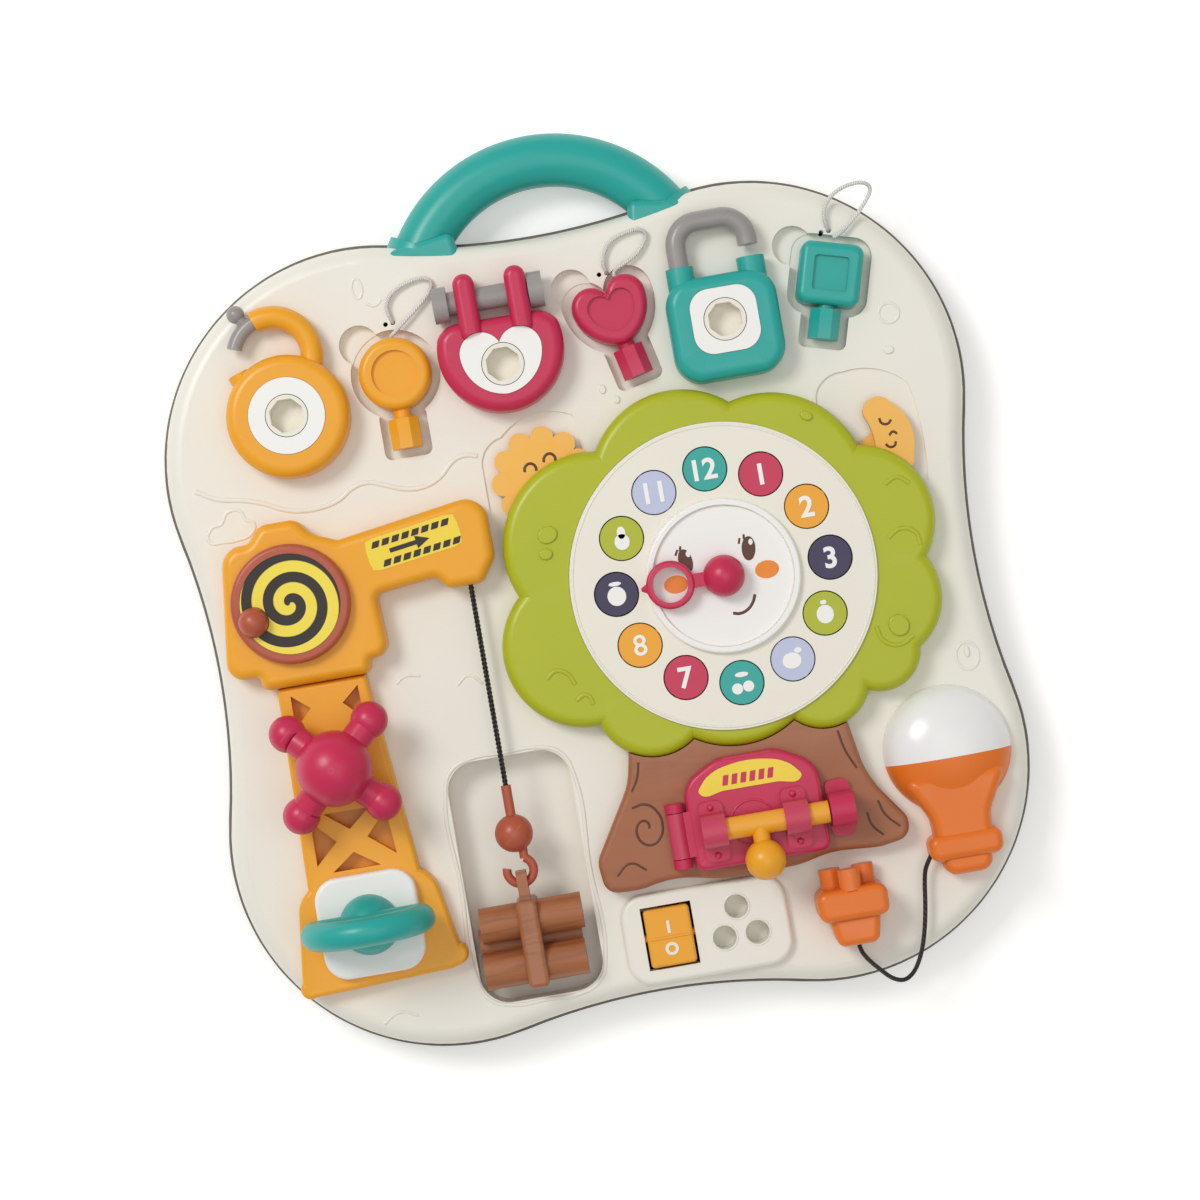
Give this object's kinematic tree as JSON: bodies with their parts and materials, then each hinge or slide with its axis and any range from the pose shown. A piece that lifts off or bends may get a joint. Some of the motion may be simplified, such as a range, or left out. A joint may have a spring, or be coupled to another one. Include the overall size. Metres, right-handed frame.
{
  "type": "busy board",
  "caption": "Waisted plastic activity board with a carry handle, locks and tethered keys, a hoist crane, turning knobs, a clock dial, a bolted door, a switch and a plug.",
  "frame": {"origin": "centre of the flat back face", "axes": "+Y towards the carry handle, +Z out of the play face"},
  "size_m": [0.324, 0.3613, 0.0775],
  "materials": {
    "amber": "satin moulded",
    "black_cord": "twisted",
    "black_plastic": "moulded",
    "cell_wrap": "printed sleeve",
    "circuit_green": "solder mask",
    "cream_shell": "satin moulded",
    "crimson": "satin moulded",
    "diffuser_white": "translucent moulded",
    "disc_amber": "satin moulded",
    "disc_crimson": "satin moulded",
    "disc_lilac": "satin moulded",
    "disc_lime": "satin moulded",
    "disc_purple": "satin moulded",
    "disc_teal": "satin moulded",
    "grey_bolt": "satin moulded",
    "ivory": "satin moulded",
    "lime": "satin moulded",
    "log_brown": "satin moulded",
    "orange": "satin moulded",
    "screw_steel": "zinc plated",
    "soft_teal": "satin moulded",
    "spiral_print": "printed",
    "sun_yellow": "satin moulded",
    "taupe_shell": "satin moulded",
    "teal": "satin moulded",
    "terracotta": "satin moulded",
    "trunk_brown": "satin moulded",
    "white_cord": "braided",
    "white_plate": "satin moulded"
  },
  "bodies": {
    "root": {"front_shell": "cream_shell", "back_shell": "taupe_shell", "battery_cover": "taupe_shell", "batteries": "cell_wrap", "case_screws": "screw_steel", "carry_handle": "teal", "circuit_board": "circuit_green", "speaker": "black_plastic", "round_lock_body": "amber", "heart_lock_body": "crimson", "square_lock_body": "teal", "lock_plates": "white_plate", "round_key_cord": "white_cord", "heart_key_cord": "white_cord", "square_key_cord": "white_cord", "plug_cord": "black_cord", "crane_head": "amber", "crane_tower": "amber", "lifting_string": "black_cord", "ring_knob_base": "white_plate", "tree_crown": "lime", "dial_ring": "ivory", "face_plate": "white_plate", "tree_trunk": "trunk_brown", "door_hinge_pin": "screw_steel", "bulb_diffuser": "diffuser_white", "bulb_base": "orange"},
    "round_bolt": {"round_lock_bolt": "grey_bolt"},
    "heart_bolt": {"heart_lock_bolt": "grey_bolt"},
    "shackle": {"square_lock_shackle": "grey_bolt"},
    "round_core": {"round_lock_core": "ivory"},
    "heart_core": {"heart_lock_core": "ivory"},
    "square_core": {"square_lock_core": "ivory"},
    "round_key": {"round_key": "amber"},
    "heart_key": {"heart_key": "crimson"},
    "square_key": {"square_key": "teal"},
    "crank": {"crank_wheel": "terracotta", "spiral_disc": "spiral_print"},
    "load": {"hoist_hook": "terracotta", "log_bundle": "log_brown"},
    "cross": {"cross_knob": "crimson"},
    "ring": {"ring_knob": "soft_teal"},
    "sun_moon": {"sun_moon_rocker": "sun_yellow"},
    "pointer": {"pointer": "crimson"},
    "disc_01": {"number_disc_01": "disc_crimson"},
    "disc_02": {"number_disc_02": "disc_amber"},
    "disc_03": {"number_disc_03": "disc_purple"},
    "disc_04": {"number_disc_04": "disc_lime"},
    "disc_05": {"number_disc_05": "disc_lilac"},
    "disc_06": {"number_disc_06": "disc_teal"},
    "disc_07": {"number_disc_07": "disc_crimson"},
    "disc_08": {"number_disc_08": "disc_amber"},
    "disc_09": {"number_disc_09": "disc_purple"},
    "disc_10": {"number_disc_10": "disc_lime"},
    "disc_11": {"number_disc_11": "disc_lilac"},
    "disc_12": {"number_disc_12": "disc_teal"},
    "door": {"door": "crimson"},
    "door_bolt": {"door_bolt": "amber"},
    "power_switch": {"power_rocker": "amber"},
    "plug": {"plug": "orange"}
  },
  "joints": [
    {"name": "round_bolt_swing", "type": "hinge", "parent": "root", "child": "round_bolt", "pos_m": [-0.1095, 0.123, 0.0345], "axis": [0, 0, 1], "range_deg": [0, 43]},
    {"name": "heart_bolt_slide", "type": "slide", "parent": "root", "child": "heart_bolt", "axis": [1, 0, 0], "range_m": [0, 0.003]},
    {"name": "shackle_slide", "type": "slide", "parent": "root", "child": "shackle", "axis": [0, 1, 0], "range_m": [-0.008, 0]},
    {"name": "round_core_turn", "type": "hinge", "parent": "root", "child": "round_core", "pos_m": [-0.1075, 0.0982, 0.042], "axis": [0, 0, 1], "continuous": true},
    {"name": "heart_core_turn", "type": "hinge", "parent": "root", "child": "heart_core", "pos_m": [-0.0197, 0.1037, 0.042], "axis": [0, 0, 1], "continuous": true},
    {"name": "square_core_turn", "type": "hinge", "parent": "root", "child": "square_core", "pos_m": [0.0699, 0.1061, 0.042], "axis": [0, 0, 1], "continuous": true},
    {"name": "round_key_lift", "type": "slide", "parent": "root", "child": "round_key", "axis": [0, 0, 1], "range_m": [0, 0.02]},
    {"name": "heart_key_lift", "type": "slide", "parent": "root", "child": "heart_key", "axis": [0, 0, 1], "range_m": [0, 0.02]},
    {"name": "square_key_lift", "type": "slide", "parent": "root", "child": "square_key", "axis": [0, 0, 1], "range_m": [0, 0.02]},
    {"name": "crank_turn", "type": "hinge", "parent": "root", "child": "crank", "pos_m": [-0.1185, 0.0245, 0.042], "axis": [0, 0, 1], "range_deg": [0, 355]},
    {"name": "load_lift", "type": "slide", "parent": "root", "child": "load", "axis": [0, 1, 0], "range_m": [0, 0.04962], "deforming": ["lifting_string"]},
    {"name": "cross_knob_turn", "type": "hinge", "parent": "root", "child": "cross", "pos_m": [-0.1115, -0.042, 0.056], "axis": [0, 0, 1], "continuous": true},
    {"name": "ring_knob_turn", "type": "hinge", "parent": "root", "child": "ring", "pos_m": [-0.1095, -0.1056, 0.048], "axis": [0, 0, 1], "continuous": true},
    {"name": "sun_moon_rock", "type": "hinge", "parent": "root", "child": "sun_moon", "pos_m": [0.0518, 0.0062, 0.028], "axis": [0, 0, 1], "range_deg": [-4, 4]},
    {"name": "pointer_turn", "type": "hinge", "parent": "root", "child": "pointer", "pos_m": [0.0518, 0.0062, 0.044], "axis": [0, 0, 1], "continuous": true},
    {"name": "disc_01_flip", "type": "hinge", "parent": "root", "child": "disc_01", "pos_m": [0.07325, 0.04335, 0.0388], "axis": [0.5, 0.866, 0], "continuous": true},
    {"name": "disc_02_flip", "type": "hinge", "parent": "root", "child": "disc_02", "pos_m": [0.08895, 0.02765, 0.0388], "axis": [0.866, 0.5, 0], "continuous": true},
    {"name": "disc_03_flip", "type": "hinge", "parent": "root", "child": "disc_03", "pos_m": [0.0947, 0.0062, 0.0388], "axis": [1, 0, 0], "continuous": true},
    {"name": "disc_04_flip", "type": "hinge", "parent": "root", "child": "disc_04", "pos_m": [0.08895, -0.01525, 0.0388], "axis": [0.866, -0.5, 0], "continuous": true},
    {"name": "disc_05_flip", "type": "hinge", "parent": "root", "child": "disc_05", "pos_m": [0.07325, -0.03095, 0.0388], "axis": [0.5, -0.866, 0], "continuous": true},
    {"name": "disc_06_flip", "type": "hinge", "parent": "root", "child": "disc_06", "pos_m": [0.0518, -0.0367, 0.0388], "axis": [0, -1, 0], "continuous": true},
    {"name": "disc_07_flip", "type": "hinge", "parent": "root", "child": "disc_07", "pos_m": [0.03035, -0.03095, 0.0388], "axis": [-0.5, -0.866, 0], "continuous": true},
    {"name": "disc_08_flip", "type": "hinge", "parent": "root", "child": "disc_08", "pos_m": [0.01465, -0.01525, 0.0388], "axis": [-0.866, -0.5, 0], "continuous": true},
    {"name": "disc_09_flip", "type": "hinge", "parent": "root", "child": "disc_09", "pos_m": [0.0089, 0.0062, 0.0388], "axis": [-1, 0, 0], "continuous": true},
    {"name": "disc_10_flip", "type": "hinge", "parent": "root", "child": "disc_10", "pos_m": [0.01465, 0.02765, 0.0388], "axis": [-0.866, 0.5, 0], "continuous": true},
    {"name": "disc_11_flip", "type": "hinge", "parent": "root", "child": "disc_11", "pos_m": [0.03035, 0.04335, 0.0388], "axis": [-0.5, 0.866, 0], "continuous": true},
    {"name": "disc_12_flip", "type": "hinge", "parent": "root", "child": "disc_12", "pos_m": [0.0518, 0.0491, 0.0388], "axis": [0, 1, 0], "continuous": true},
    {"name": "door_swing", "type": "hinge", "parent": "root", "child": "door", "pos_m": [0.0167, -0.092, 0.042], "axis": [0, -1, 0], "range_deg": [0, 115]},
    {"name": "door_bolt_slide", "type": "slide", "parent": "door", "child": "door_bolt", "axis": [1, 0, 0], "range_m": [-0.005, 0.0065]},
    {"name": "power_rocker_tilt", "type": "hinge", "parent": "root", "child": "power_switch", "pos_m": [0.0066, -0.1316, 0.029], "axis": [1, 0, 0], "range_deg": [-5, 5]},
    {"name": "plug_lift", "type": "slide", "parent": "root", "child": "plug", "axis": [0, 0, 1], "range_m": [0, 0.02]}
  ],
  "couplings": [
    {"joint": "load_lift", "follows": "crank_turn", "m_per_rad": 0.008}
  ]
}
